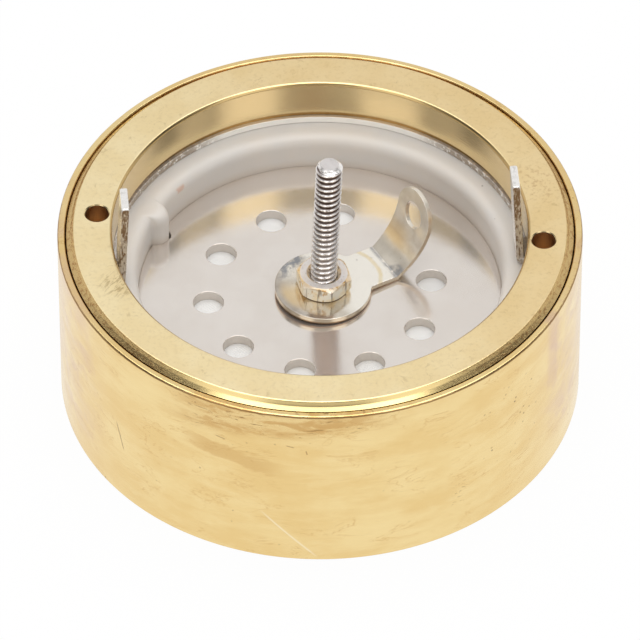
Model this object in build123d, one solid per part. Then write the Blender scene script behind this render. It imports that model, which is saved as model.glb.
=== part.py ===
from build123d import *
import os
from math import cos, pi, radians, sin, sqrt, tan

# A large-diaphragm condenser microphone capsule, standing on its front rim with its terminals up.
# Millimetres. Z = 0 is the front rim's face, +Z points out of the capsule's rear, and the Z axis
# is the capsule's axis. Angles are counted from +X, anticlockwise seen from the rear.

# ---- Housing -------------------------------------------------------------------------------
housing_outer_radius = 17.0
housing_wall = 0.52            # from the plain bore, which is also the crest of the housing's thread
lip_thickness = 1.0            # front lip that holds the diaphragm ring in
lip_width = 3.8
lip_bevel = 0.4                # bevel round the front opening
rim_drop = 0.38                # the rear rim sits this far below the lock ring's face
rim_outer_chamfer = 0.1
rim_entry_chamfer = 0.1        # lead-in at the mouth of the thread

# ---- Stack inside, from the front lip to the rear --------------------------------------------
diaphragm_ring_thickness = 1.2
diaphragm_ring_width = 3.42
film_thickness = 0.05
spacer_thickness = 0.05
spacer_width = 3.67
backplate_thickness = 3.0
web_thickness = 1.45           # insulator web between backplate and rear plate
rear_plate_thickness = 0.75
well_depth = 2.4               # insulator shelf above the rear plate
washer_thickness = 0.5
lock_ring_thickness = 3.0

# ---- Clearances ------------------------------------------------------------------------------
bore_clearance = 0.06          # every round piece that drops into the housing
washer_clearance = 0.16        # contact washer, cut with room to spare
pocket_clearance = 0.06        # plates in the insulator
key_clearance = 0.08           # rear plate's notch round the insulator's key
thread_clearance = 0.06        # between the crests of mating threads

# ---- Insulator -------------------------------------------------------------------------------
insulator_wall = 4.57          # round the well behind the rear plate
pocket_wall = 4.12             # round the backplate
web_ledge = 0.9                # ledge that the rear plate sits on
shelf_edge_round = 0.5
key_angle = 154.2
key_radius = 0.78              # half-round key that stands out of the well's wall
key_blend = 0.3                # hollow blend on the front side of the key
key_crease = 0.15              # tighter blend on its other side

# ---- Backplate and its acoustic holes ----------------------------------------------------------
backplate_hole_radius = 0.4
backplate_hole_spacing = 2.2   # from ring to ring, and along each ring at least
backplate_centre_margin = 3.4  # innermost ring
backplate_edge_margin = 1.8
backplate_screw_clearance = 0.28
screw_seat_clearance = 0.15    # round the screw's head
screw_head_recess = 0.1        # head below the backplate's front face

# ---- Rear plate --------------------------------------------------------------------------------
port_count = 10
port_radius = 1.0
port_circle_radius = 7.33
port_phase = 7.9
plate_screw_clearance = 0.38

# ---- Damping cloth and spacing bush --------------------------------------------------------------
cloth_thickness = 0.3
cloth_edge_clearance = 0.15
cloth_bush_clearance = 0.1
bush_outer_radius = 2.2
bush_screw_clearance = 0.28

# ---- Lock ring ---------------------------------------------------------------------------------
lock_ring_width = 2.97
lock_ring_edge_width = 0.18    # steep facet round the ring's face
lock_ring_edge_depth = 0.25
lock_ring_slope_width = 0.28   # and a shallower one from there down to its thread
lock_ring_slope_depth = 0.2
lock_ring_inner_chamfer = 0.15
lock_ring_relief_depth = 0.25  # rough recess at the bottom of the ring's bore
lock_ring_relief_height = 0.45
housing_thread_pitch = 0.5
housing_thread_depth = 0.19
spanner_hole_radius = 0.775
spanner_hole_depth = 2.2
spanner_hole_inset = 1.05      # from the ring's opening to the middle of each hole
spanner_angle = -4.9

# ---- Contact washer ------------------------------------------------------------------------------
tab_gap = 0.25                 # between each tab's foot and the lock ring's opening
tab_lean = 3.0                 # each tab stands a little inwards
tab_width = 2.1
tab_height_above_ring = 3.5
tab_bend_radius = 0.15
tab_edge_chamfer = 0.08
tab_angle = 4.8

# ---- Centre screw, nut and solder lug --------------------------------------------------------------
screw_crest_radius = 0.87
screw_pitch = 0.435
screw_thread_depth = 0.25
screw_plain_length = 1.2       # shank without thread above the head
crest_share = 0.16             # flat crest, as a share of the pitch
root_share = 0.12
screw_length = 16.6
screw_tip_chamfer = 0.3
screw_head_radius = 1.75
screw_head_rim = 0.15          # straight edge of the countersunk head
screw_lean = 2.1               # the screw stands a little out of upright
nut_across_flats = 3.24
nut_height = 1.2
nut_chamfer_radius = 1.55
nut_chamfer_angle = 35
nut_mouth_chamfer = 0.2
nut_groove_depth = 0.1
nut_angle = -74
lug_thickness = 0.3
lug_disc_radius = 3.15
lug_hole_clearance = 0.23
lug_seat_height = 0.2          # punched collar under the lug
lug_seat_radius = 1.7
lug_arm_azimuth = 30.5
lug_bend_distance = 4.66       # from the screw's axis to the bend line
lug_neck_half_width = 1.6
lug_notch_round = 0.35
lug_bend_angle = 36.4          # slope just past the bend line
lug_tip_slope = 81.7
lug_arm_steps = 8
lug_arm_length = 3.98          # along the arm, from the bend line to the eye's centre
lug_tip_radius = 1.85
lug_eye_radius = 0.915

# ---- Heights that follow from the stack ------------------------------------------------------------
film_z = lip_thickness + diaphragm_ring_thickness
spacer_z = film_z + film_thickness
backplate_z = spacer_z + spacer_thickness
web_z = backplate_z + backplate_thickness
rear_plate_z = web_z + web_thickness
rear_plate_top = rear_plate_z + rear_plate_thickness
shelf_z = rear_plate_top + well_depth
lock_ring_z = shelf_z + washer_thickness
ring_face_z = lock_ring_z + lock_ring_thickness
rim_z = ring_face_z - rim_drop

# ---- Radii that follow from the walls and the fits ---------------------------------------------------
bore_radius = housing_outer_radius - housing_wall
lip_opening_radius = housing_outer_radius - lip_width
seat_radius = bore_radius - bore_clearance
diaphragm_ring_opening_radius = seat_radius - diaphragm_ring_width
spacer_opening_radius = seat_radius - spacer_width
backplate_pocket_radius = seat_radius - pocket_wall
well_radius = seat_radius - insulator_wall
web_opening_radius = well_radius - web_ledge
washer_radius = bore_radius - washer_clearance
lock_ring_radius = bore_radius - thread_clearance
lock_ring_opening_radius = lock_ring_radius - lock_ring_width
spanner_circle_radius = lock_ring_opening_radius + spanner_hole_inset
tab_foot_radius = lock_ring_opening_radius - tab_gap
nut_bore_radius = screw_crest_radius + thread_clearance
screw_z = backplate_z + screw_head_recess
screw_head_height = screw_head_radius - screw_crest_radius + screw_head_rim


def disc(radius, bottom, height):
    """A plain round of the given radius, from bottom upwards."""
    return Pos(0, 0, bottom) * Cylinder(radius, height, align=(Align.CENTER, Align.CENTER, Align.MIN))


def ring(outer, inner, bottom, height):
    return disc(outer, bottom, height) - disc(inner, bottom, height)


def spin(points):
    """Turns an outline of (radius, height) points about the Z axis."""
    return revolve(make_face(Plane.XZ * Polyline(points, close=True)), Axis.Z)


def groove_rings(crest, depth, pitch, bottom, top, outward):
    """V-shaped thread grooves, cut outwards from a bore or inwards from a shank."""
    side = 1 if outward else -1
    count = int((top - bottom) / pitch)
    cutters = []
    for number in range(count):
        low = bottom + number * pitch + pitch / 16
        high = low + pitch * 7 / 8
        middle = (low + high) / 2
        back = crest - side * thread_clearance / 4
        outline = [(back, low), (crest, low), (crest + side * depth, middle), (crest, high), (back, high)]
        cutters.append(spin(outline))
    return cutters


def screw_frame():
    """Where the leaning screw's own frame stands, with its origin under the screw's head."""
    return Pos(0, 0, screw_z) * Rot(0, screw_lean, 0)


def make_housing():
    shell = disc(housing_outer_radius, 0, rim_z) - disc(bore_radius, lip_thickness, rim_z)
    shell -= disc(lip_opening_radius, 0, lip_thickness)
    bevel = [
        (lip_opening_radius, 0),
        (lip_opening_radius + lip_bevel, 0),
        (lip_opening_radius, lip_bevel),
    ]
    shell -= spin(bevel)
    corner = housing_outer_radius - rim_outer_chamfer
    shell -= spin([
        (corner, rim_z),
        (housing_outer_radius, rim_z),
        (housing_outer_radius, rim_z - rim_outer_chamfer),
    ])
    mouth = bore_radius + rim_entry_chamfer
    shell -= spin([(bore_radius, rim_z), (mouth, rim_z), (bore_radius, rim_z - rim_entry_chamfer)])
    thread_top = rim_z - rim_entry_chamfer
    shell -= groove_rings(
        bore_radius, housing_thread_depth, housing_thread_pitch, shelf_z, thread_top, True
    )
    return shell


def make_diaphragm_ring():
    return ring(seat_radius, diaphragm_ring_opening_radius, lip_thickness, diaphragm_ring_thickness)


def make_diaphragm():
    return disc(seat_radius, film_z, film_thickness)


def make_spacer_ring():
    return ring(seat_radius, spacer_opening_radius, spacer_z, spacer_thickness)


def make_backplate():
    plate = disc(backplate_pocket_radius - pocket_clearance, backplate_z, backplate_thickness)
    hole = disc(backplate_hole_radius, backplate_z, backplate_thickness)
    holes = []
    circle = backplate_centre_margin
    while circle < backplate_pocket_radius - backplate_edge_margin:
        count = int(2 * pi * circle / backplate_hole_spacing)
        holes += [place * hole for place in PolarLocations(circle, count)]
        circle += backplate_hole_spacing
    seat = screw_head_radius + screw_seat_clearance
    throat = screw_crest_radius + backplate_screw_clearance
    straight = screw_z + screw_head_rim - backplate_z
    sink = [
        (0, backplate_z),
        (seat, backplate_z),
        (seat, backplate_z + straight),
        (throat, backplate_z + straight + seat - throat),
        (throat, web_z),
        (0, web_z),
    ]
    return plate - holes - spin(sink)


def key_rib(bottom, height, clearance=0):
    """The key, or with some clearance the notch for it, before it is turned into its place."""
    return Pos(well_radius, 0, 0) * disc(key_radius + clearance, bottom, height)


def make_insulator():
    """White cup that carries both plates, with one key inside its well."""
    cup = disc(seat_radius, backplate_z, rear_plate_top - backplate_z)
    cup -= disc(backplate_pocket_radius, backplate_z, backplate_thickness)
    cup -= disc(web_opening_radius, web_z, web_thickness)
    cup -= disc(well_radius, rear_plate_z, rear_plate_thickness)
    cup += key_rib(rear_plate_z, rear_plate_thickness)
    collar = ring(seat_radius, well_radius, rear_plate_top, well_depth)
    collar += key_rib(rear_plate_top, well_depth)
    for side, blend in ((1, key_blend), (-1, key_crease)):
        uprights = collar.edges().filter_by(Axis.Z)
        corner = uprights.sort_by_distance((well_radius, side * key_radius, shelf_z))[0]
        collar = fillet(corner, blend)
    well_mouth = collar.faces().sort_by(Axis.Z)[-1].inner_wires()[0].edges()
    collar = fillet(well_mouth, shelf_edge_round)
    return Rot(0, 0, key_angle) * (cup + collar)


def make_rear_plate():
    plate = disc(well_radius - pocket_clearance, rear_plate_z, rear_plate_thickness)
    port = disc(port_radius, rear_plate_z, rear_plate_thickness)
    ports = PolarLocations(port_circle_radius, port_count, start_angle=port_phase)
    plate -= [place * port for place in ports]
    passage = screw_crest_radius + plate_screw_clearance
    plate -= disc(passage, rear_plate_z, rear_plate_thickness)
    notch = key_rib(rear_plate_z, rear_plate_thickness, key_clearance)
    return plate - Rot(0, 0, key_angle) * notch


def make_damping_cloth():
    outer = web_opening_radius - cloth_edge_clearance
    inner = bush_outer_radius + cloth_bush_clearance
    return ring(outer, inner, rear_plate_z - cloth_thickness, cloth_thickness)


def make_spacing_bush():
    return ring(bush_outer_radius, screw_crest_radius + bush_screw_clearance, web_z, web_thickness)


def make_lock_ring():
    body = ring(lock_ring_radius, lock_ring_opening_radius, lock_ring_z, lock_ring_thickness)
    slope = lock_ring_radius - lock_ring_slope_width
    thread_top = ring_face_z - lock_ring_edge_depth - lock_ring_slope_depth
    body -= spin([
        (slope - lock_ring_edge_width, ring_face_z),
        (lock_ring_radius, ring_face_z),
        (lock_ring_radius, thread_top),
        (slope, ring_face_z - lock_ring_edge_depth),
    ])
    mouth = lock_ring_opening_radius + lock_ring_inner_chamfer
    body -= spin([
        (lock_ring_opening_radius, ring_face_z),
        (mouth, ring_face_z),
        (lock_ring_opening_radius, ring_face_z - lock_ring_inner_chamfer),
    ])
    body -= disc(lock_ring_opening_radius + lock_ring_relief_depth, lock_ring_z, lock_ring_relief_height)
    body -= groove_rings(
        lock_ring_radius,
        housing_thread_depth,
        housing_thread_pitch,
        lock_ring_z,
        thread_top,
        False,
    )
    hole = disc(spanner_hole_radius, ring_face_z - spanner_hole_depth, spanner_hole_depth)
    body -= [place * hole for place in PolarLocations(spanner_circle_radius, 2, start_angle=spanner_angle)]
    return body


def make_tab():
    """One terminal tab: a tongue from the washer's inner edge, bent straight up."""
    tab_top = ring_face_z + tab_height_above_ring
    slope = tan(radians(tab_lean))
    drift = slope * (tab_top - lock_ring_z)
    inner_foot = tab_foot_radius - washer_thickness + slope * washer_thickness
    inner_top = tab_foot_radius - washer_thickness - drift
    tongue_end = lock_ring_opening_radius + tab_width / 2
    outline = Plane.XZ * Polyline(
        [
            (tongue_end, shelf_z),
            (inner_foot, shelf_z),
            (inner_top, tab_top),
            (tab_foot_radius - drift, tab_top),
            (tab_foot_radius, lock_ring_z),
            (tongue_end, lock_ring_z),
        ],
        close=True,
    )
    sheet = extrude(make_face(outline), tab_width / 2, both=True)
    uprights = sheet.edges().filter_by(Axis.Y)
    heel = uprights.sort_by_distance((inner_foot, 0, shelf_z))[0]
    sheet = fillet(heel, tab_bend_radius + washer_thickness)
    uprights = sheet.edges().filter_by(Axis.Y)
    crook = uprights.sort_by_distance((tab_foot_radius, 0, lock_ring_z))[0]
    sheet = fillet(crook, tab_bend_radius)
    return chamfer(sheet.faces().sort_by(Axis.Z)[-1].edges(), tab_edge_chamfer)


def make_contact_washer():
    washer = ring(washer_radius, lock_ring_opening_radius, shelf_z, washer_thickness)
    for turn in (0, 180):
        washer += Rot(0, 0, tab_angle + turn) * make_tab()
    return washer


def make_centre_screw():
    """Countersunk screw from the backplate, with its thread as a row of V grooves."""
    root = screw_crest_radius - screw_thread_depth
    outline = [
        (0, 0),
        (screw_head_radius, 0),
        (screw_head_radius, screw_head_rim),
        (screw_crest_radius, screw_head_height),
    ]
    low = screw_head_height + screw_plain_length
    while low + screw_pitch < screw_length - screw_tip_chamfer:
        outline.append((screw_crest_radius, low + screw_pitch * crest_share / 2))
        outline.append((root, low + screw_pitch * (1 - root_share) / 2))
        outline.append((root, low + screw_pitch * (1 + root_share) / 2))
        outline.append((screw_crest_radius, low + screw_pitch * (1 - crest_share / 2)))
        low += screw_pitch
    outline.append((screw_crest_radius, screw_length - screw_tip_chamfer))
    outline.append((screw_crest_radius - screw_tip_chamfer, screw_length))
    outline.append((0, screw_length))
    return screw_frame() * spin(outline)


def lug_base():
    """Height of the lug's underside along the screw, where its collar just clears the plate."""
    lean = radians(screw_lean)
    return (rear_plate_top - screw_z) / cos(lean) + lug_seat_radius * sin(lean)


def make_screw_nut():
    bottom = lug_base() + lug_seat_height + lug_thickness
    corner = nut_across_flats / sqrt(3)
    blank = extrude(RegularPolygon(corner, 6), nut_height)
    drop = (corner + nut_mouth_chamfer - nut_chamfer_radius) * tan(radians(nut_chamfer_angle))
    wide = corner + nut_mouth_chamfer
    crown = spin([
        (0, 0),
        (nut_chamfer_radius, 0),
        (wide, drop),
        (wide, nut_height - drop),
        (nut_chamfer_radius, nut_height),
        (0, nut_height),
    ])
    blank = Rot(0, 0, nut_angle) * (blank & crown)
    blank -= disc(nut_bore_radius, 0, nut_height)
    mouth = nut_bore_radius + nut_mouth_chamfer
    for face, inward in ((0, 1), (nut_height, -1)):
        blank -= spin([
            (nut_bore_radius, face),
            (mouth, face),
            (nut_bore_radius, face + inward * nut_mouth_chamfer),
        ])
    blank -= groove_rings(
        nut_bore_radius,
        nut_groove_depth,
        screw_pitch,
        nut_mouth_chamfer,
        nut_height - nut_mouth_chamfer,
        True,
    )
    return screw_frame() * Pos(0, 0, bottom) * blank


def arm_station(share):
    """Run, rise and slope of the arm's upper face at a share of its length past the bend."""
    first, last = radians(lug_bend_angle), radians(lug_tip_slope)
    bow_radius = lug_arm_length / (last - first)
    slope = first + share * (last - first)
    run = lug_bend_distance + bow_radius * (sin(slope) - sin(first))
    rise = lug_seat_height + lug_thickness + bow_radius * (cos(first) - cos(slope))
    return run, rise, slope


def arm_section(share):
    """The arm's cross-section, square to the arm, widening towards the eye."""
    run, rise, slope = arm_station(share)
    half_width = lug_neck_half_width + share * (lug_tip_radius - lug_neck_half_width)
    place = Plane(origin=(run, 0, rise), x_dir=(0, 1, 0), z_dir=(cos(slope), 0, sin(slope)))
    return place * Rectangle(2 * half_width, lug_thickness, align=(Align.CENTER, Align.MAX))


def make_solder_lug():
    """Disc with a punched collar, a neck, and an arm that sweeps up to a round eye."""
    neck = Box(
        lug_bend_distance,
        2 * lug_neck_half_width,
        lug_thickness,
        align=(Align.MIN, Align.CENTER, Align.MIN),
    )
    sheet = disc(lug_disc_radius, 0, lug_thickness) + neck
    corners = [
        edge
        for edge in sheet.edges().filter_by(Axis.Z)
        if lug_disc_radius / 2 < edge.center().X < lug_bend_distance - lug_notch_round
    ]
    sheet = Pos(0, 0, lug_seat_height) * fillet(corners, lug_notch_round)
    lug_top = lug_seat_height + lug_thickness
    bend_axis = Axis((lug_bend_distance, 0, lug_top), (0, -1, 0))
    bend_start = Plane(origin=(lug_bend_distance, 0, lug_top), x_dir=(0, 1, 0), z_dir=(1, 0, 0))
    end_face = bend_start * Rectangle(
        2 * lug_neck_half_width, lug_thickness, align=(Align.CENTER, Align.MAX)
    )
    sheet += revolve(end_face, bend_axis, lug_bend_angle)
    sheet += loft([arm_section(number / lug_arm_steps) for number in range(lug_arm_steps + 1)])
    run, rise, slope = arm_station(1)
    eye_plane = Plane(origin=(run, 0, rise), x_dir=(0, 1, 0), z_dir=(sin(slope), 0, -cos(slope)))
    tip = Circle(lug_tip_radius) & Pos(0, lug_tip_radius) * Rectangle(2 * lug_tip_radius, 2 * lug_tip_radius)
    sheet += extrude(eye_plane * tip, lug_thickness)
    sheet -= extrude(eye_plane * Circle(lug_eye_radius), 2 * lug_thickness, both=True)
    sheet += disc(lug_seat_radius, 0, lug_seat_height)
    sheet -= disc(screw_crest_radius + lug_hole_clearance, 0, lug_top)
    return screw_frame() * Pos(0, 0, lug_base()) * Rot(0, 0, lug_arm_azimuth) * sheet


parts = {
    "housing": make_housing(),
    "lock_ring": make_lock_ring(),
    "contact_washer": make_contact_washer(),
    "insulator": make_insulator(),
    "rear_plate": make_rear_plate(),
    "damping_cloth": make_damping_cloth(),
    "spacing_bush": make_spacing_bush(),
    "backplate": make_backplate(),
    "spacer_ring": make_spacer_ring(),
    "diaphragm": make_diaphragm(),
    "diaphragm_ring": make_diaphragm_ring(),
    "centre_screw": make_centre_screw(),
    "screw_nut": make_screw_nut(),
    "solder_lug": make_solder_lug(),
}

os.makedirs("parts", exist_ok=True)
for name, shape in parts.items():
    shape.label = name
    export_step(shape, f"parts/{name}.step")
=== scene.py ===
import bpy
import bmesh
from math import cos, pi, radians, sin, tan
from mathutils import Matrix, Vector


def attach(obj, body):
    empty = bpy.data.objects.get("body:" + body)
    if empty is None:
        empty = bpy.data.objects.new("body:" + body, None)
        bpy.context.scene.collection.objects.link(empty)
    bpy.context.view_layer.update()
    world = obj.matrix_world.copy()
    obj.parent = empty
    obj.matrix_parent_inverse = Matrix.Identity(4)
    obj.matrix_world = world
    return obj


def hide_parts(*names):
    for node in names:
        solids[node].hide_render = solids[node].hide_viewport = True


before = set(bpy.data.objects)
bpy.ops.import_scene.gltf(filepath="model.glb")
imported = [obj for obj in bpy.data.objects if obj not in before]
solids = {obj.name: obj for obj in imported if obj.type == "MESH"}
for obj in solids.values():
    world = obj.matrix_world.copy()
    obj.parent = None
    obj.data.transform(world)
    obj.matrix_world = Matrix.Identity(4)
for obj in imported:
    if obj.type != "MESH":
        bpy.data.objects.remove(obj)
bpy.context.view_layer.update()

mm = 0.001
stand = {"foot": 2.4, "lean": 2.1, "slope": 0.0367}  # the screw leans to the right as it rises
print("frame loaded,", len(solids), "nodes")


# A socket that can be used in plain arithmetic.
class Wire:
    def __init__(self, board, socket):
        self.board = board
        self.socket = socket

    def __add__(self, other):
        return self.board.math("ADD", self, other)

    def __radd__(self, other):
        return self.board.math("ADD", other, self)

    def __sub__(self, other):
        return self.board.math("SUBTRACT", self, other)

    def __rsub__(self, other):
        return self.board.math("SUBTRACT", other, self)

    def __mul__(self, other):
        return self.board.math("MULTIPLY", self, other)

    def __rmul__(self, other):
        return self.board.math("MULTIPLY", other, self)

    def __truediv__(self, other):
        return self.board.math("DIVIDE", self, other)

    def __rtruediv__(self, other):
        return self.board.math("DIVIDE", other, self)

    def __pow__(self, other):
        return self.board.math("POWER", self, other)


# A node tree with one way in for every kind of node.
class Board:
    def __init__(self, tree):
        self.tree = tree

    def add(self, kind, settings=None, sockets=None, out=0):
        node = self.tree.nodes.new(kind)
        for key, value in (settings or {}).items():
            setattr(node, key, value)
        for key, value in (sockets or {}).items():
            self.feed(node.inputs[key], value)
        return Wire(self, node.outputs[out])

    def feed(self, socket, value):
        if isinstance(value, Wire):
            self.tree.links.new(value.socket, socket)
        elif value is not None:
            if socket.type == "RGBA" and len(value) == 3:
                value = (*value, 1)
            socket.default_value = value

    def math(self, operation, first, second=None):
        return self.add("ShaderNodeMath", {"operation": operation}, {0: first, 1: second})

    def size(self, value):
        return self.math("ABSOLUTE", value)

    def split(self, vector):
        node = self.add("ShaderNodeSeparateXYZ", None, {0: vector}).socket.node
        return [Wire(self, output) for output in node.outputs]

    def join(self, x, y, z):
        return self.add("ShaderNodeCombineXYZ", None, {0: x, 1: y, 2: z})

    def slope(self, value, low, high, atLow, atHigh):
        settings = {"interpolation_type": "SMOOTHSTEP"}
        return self.add("ShaderNodeMapRange", settings, {0: value, 1: low, 2: high, 3: atLow, 4: atHigh})

    # 0 below low, 1 above high, with a soft step between; high may be under low
    def step(self, value, low, high):
        if low < high:
            return self.slope(value, low, high, 0.0, 1.0)
        return self.slope(value, high, low, 1.0, 0.0)

    def between(self, value, low, high, soft):
        return self.step(value, low - soft, low + soft) * self.step(value, high + soft, high - soft)


# A material whose patterns are laid out in millimetres of the object's own space.
class Finish(Board):
    def __init__(self, name, fixed):
        self.material = bpy.data.materials.new(name)
        self.material.use_nodes = True
        super().__init__(self.material.node_tree)
        self.shader = self.tree.nodes["Principled BSDF"]
        for key, value in fixed.items():
            self.feed(self.shader.inputs[key], value)
        coords = self.add("ShaderNodeTexCoord", None, None, "Object")
        self.place = self.add("ShaderNodeVectorMath", {"operation": "SCALE"}, {0: coords, 3: 1 / mm})
        self.x, self.y, self.z = self.split(self.place)
        self.r = (self.x * self.x + self.y * self.y) ** 0.5
        self.turn = self.math("ARCTAN2", self.x, 0 - self.y)  # 0 at the front, up towards +X

    def noise(self, scale, detail=3.0, rough=0.55, vector=None, twist=0.0):
        sockets = {"Vector": vector or self.place, "Scale": scale, "Detail": detail,
                   "Roughness": rough, "Distortion": twist}
        return self.add("ShaderNodeTexNoise", None, sockets)

    def stretched(self, along, across):
        return self.join(self.x * along, self.y * along, self.z * across)

    def cells(self, scale):
        return self.add("ShaderNodeTexVoronoi", None, {"Vector": self.place, "Scale": scale})

    def tint(self, share, first, second, how="MIX"):
        settings = {"data_type": "RGBA", "blend_type": how}
        return self.add("ShaderNodeMix", settings, {0: share, 6: first, 7: second}, 2)

    # which way the surface faces, in the piece's own directions, so that it turns with the piece
    def facing(self):
        node = self.add("ShaderNodeNewGeometry").socket.node
        settings = {"vector_type": "NORMAL", "convert_from": "WORLD", "convert_to": "OBJECT"}
        own = self.add("ShaderNodeVectorTransform", settings, {0: Wire(self, node.outputs["Normal"])})
        return self.split(own)

    # a thin straight mark from one place to another on a flat pair of coordinates
    def mark(self, across, up, start, end, width, soft=0.04):
        length = ((end[0] - start[0]) ** 2 + (end[1] - start[1]) ** 2) ** 0.5
        c, s = (end[0] - start[0]) / length, (end[1] - start[1]) / length
        along = (across - start[0]) * c + (up - start[1]) * s
        aside = self.size((up - start[1]) * c - (across - start[0]) * s)
        body = self.step(aside, width + soft, width)
        return body * self.between(along, 0.1 * length, 0.9 * length, 0.1 * length)

    def bump(self, height, distance, strength):
        sockets = {"Height": height, "Distance": distance * mm, "Strength": strength}
        return self.add("ShaderNodeBump", None, sockets)

    def close(self, color, rough, normal, metal=None):
        feeds = {"Base Color": color, "Roughness": rough, "Normal": normal, "Metallic": metal}
        for key, value in feeds.items():
            self.feed(self.shader.inputs[key], value)
        return self.material


def dress(piece, material):
    piece.data.materials.clear()
    piece.data.materials.append(material)


def makeObject(name, points, faces):
    mesh = bpy.data.meshes.new(name)
    mesh.from_pydata(points, [], faces)
    form = bmesh.new()
    form.from_mesh(mesh)
    bmesh.ops.remove_doubles(form, verts=form.verts, dist=1e-7)
    bmesh.ops.recalc_face_normals(form, faces=form.faces)
    form.to_mesh(mesh)
    form.free()
    mesh.shade_smooth()
    piece = bpy.data.objects.new(name, mesh)
    bpy.context.scene.collection.objects.link(piece)
    return piece


# A section's corners, given as (radius, height, rounding), as a list of points.
def soften(corners, steps=4, guard=0.03):
    section = []
    for number, (r, z, setback) in enumerate(corners):
        if not setback:
            section.append((r, z))
            continue
        here = Vector((r, z))
        sides = []
        for other in (corners[number - 1], corners[(number + 1) % len(corners)]):
            way = Vector((other[0], other[1])) - here
            sides.append((way.normalized(), way.length))
        (back, backRoom), (ahead, aheadRoom) = sides
        if backRoom > setback * 2 + guard:
            section.append(tuple(here + back * (setback + guard)))
        for step in range(steps + 1):
            t = step / steps
            spot = here + back * setback * (1 - t) ** 2 + ahead * setback * t ** 2
            section.append(tuple(spot))
        if aheadRoom > setback * 2 + guard:
            section.append(tuple(here + ahead * (setback + guard)))
    return section


# More points along the straight wall at one radius, for a thread to be cut in.
def fillRows(section, radius, low, high, rowHeight):
    dense = []
    for number, (r, z) in enumerate(section):
        dense.append((r, z))
        r2, z2 = section[(number + 1) % len(section)]
        if abs(r - radius) > 0.001 or abs(r2 - radius) > 0.001 or abs(z2 - z) < 2 * rowHeight:
            continue
        way = 1 if z2 > z else -1
        heights = [low + rowHeight * row for row in range(int((high - low) / rowHeight) + 1)]
        for height in heights if way > 0 else heights[::-1]:
            if min(z, z2) + 0.01 < height < max(z, z2) - 0.01:
                dense.append((r, height))
    return dense


# A section turned round the axis. Columns is their number, or a list of their angles; inward moves a
# point towards the axis.
def turnedPiece(name, section, columns, closed=True, inward=None):
    turns = columns if isinstance(columns, list) else [2 * pi * column / columns for column in range(columns)]
    points, faces, rows = [], [], []
    for r, z in section:
        if r < 1e-6:
            rows.append([len(points)] * len(turns))
            points.append((0, 0, z * mm))
            continue
        rows.append(list(range(len(points), len(points) + len(turns))))
        for turn in turns:
            reach = r - inward(r, z, turn) if inward else r
            points.append((reach * cos(turn) * mm, reach * sin(turn) * mm, z * mm))
    pairs = list(zip(rows, rows[1:] + rows[:1] if closed else rows[1:]))
    for lower, upper in pairs:
        for column in range(len(turns)):
            after = (column + 1) % len(turns)
            loop = [lower[column], lower[after], upper[after], upper[column]]
            face = list(dict.fromkeys(loop))
            if len(face) > 2:
                faces.append(face)
    return makeObject(name, points, faces)


# The rule of a screw thread, as a Geometry Nodes tree: every point that lies on the plain wall
# sinks into the groove by how far it is from the crest of the helix.
def makeThreadTree():
    tree = bpy.data.node_groups.new("cutThread", "GeometryNodeTree")
    board = Board(tree)
    tree.interface.new_socket("Geometry", in_out="INPUT", socket_type="NodeSocketGeometry")
    tree.interface.new_socket("Geometry", in_out="OUTPUT", socket_type="NodeSocketGeometry")
    for label in ("Wall radius", "Depth", "Pitch", "Bottom", "Top", "Crest share", "Root share", "Run out"):
        tree.interface.new_socket(label, in_out="INPUT", socket_type="NodeSocketFloat")
    tree.interface.new_socket("Material", in_out="INPUT", socket_type="NodeSocketMaterial")
    entry = tree.nodes.new("NodeGroupInput")
    given = {output.name: Wire(board, output) for output in entry.outputs}
    x, y, z = board.split(board.add("GeometryNodeInputPosition"))
    radius = (x * x + y * y) ** 0.5
    turn = board.math("ARCTAN2", y, x)
    phase = board.math("FRACT", z / given["Pitch"] - turn / (2 * pi) + 8)
    fromCrest = board.size(phase * 2 - 1)
    flanks = 1 - given["Crest share"] - given["Root share"]
    sunk = board.add("ShaderNodeClamp", None, {0: (fromCrest - given["Crest share"]) / flanks})
    lead = board.slope(z, given["Bottom"], given["Bottom"] + given["Run out"], 0.0, 1.0)
    tail = board.slope(z, given["Top"] - given["Run out"], given["Top"], 1.0, 0.0)
    onWall = board.math("LESS_THAN", board.size(radius - given["Wall radius"]), 0.00001)
    cut = given["Depth"] * sunk * lead * tail * onWall
    share = (radius - cut) / board.math("MAXIMUM", radius, 1e-6)
    moved = board.join(x * share, y * share, z)
    shaped = board.add("GeometryNodeSetPosition", None, {"Geometry": given["Geometry"], "Position": moved})
    solid = board.add("GeometryNodeRealizeInstances", None, {"Geometry": shaped})
    dressed = board.add("GeometryNodeSetMaterial", None, {"Geometry": solid, "Material": given["Material"]})
    leave = tree.nodes.new("NodeGroupOutput")
    tree.links.new(dressed.socket, leave.inputs[0])
    return tree


threadTree = makeThreadTree()


# Pitch and profile come from the piece's own dictionary; a depth below 0 cuts outwards, into a bore.
def cutThread(piece, material, v, radius, depth, bottom, top):
    values = {
        "Wall radius": radius * mm, "Depth": depth * mm, "Pitch": v["threadPitch"] * mm,
        "Bottom": bottom * mm, "Top": top * mm, "Run out": v["runOut"] * mm,
        "Crest share": v["crestShare"], "Root share": v["rootShare"], "Material": material,
    }
    modifier = piece.modifiers.new("cutThread", "NODES")
    modifier.node_group = threadTree
    for item in threadTree.interface.items_tree:
        if item.in_out == "INPUT" and item.name in values:
            modifier[item.identifier] = values[item.name]
    return settle(piece, material)


# Modifiers become plain mesh, so that nothing is left for later steps to work out.
def settle(piece, material=None):
    graph = bpy.context.evaluated_depsgraph_get()
    mesh = bpy.data.meshes.new_from_object(piece.evaluated_get(graph))
    piece.modifiers.clear()
    piece.data = mesh
    if material:
        dress(piece, material)
    return piece


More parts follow.
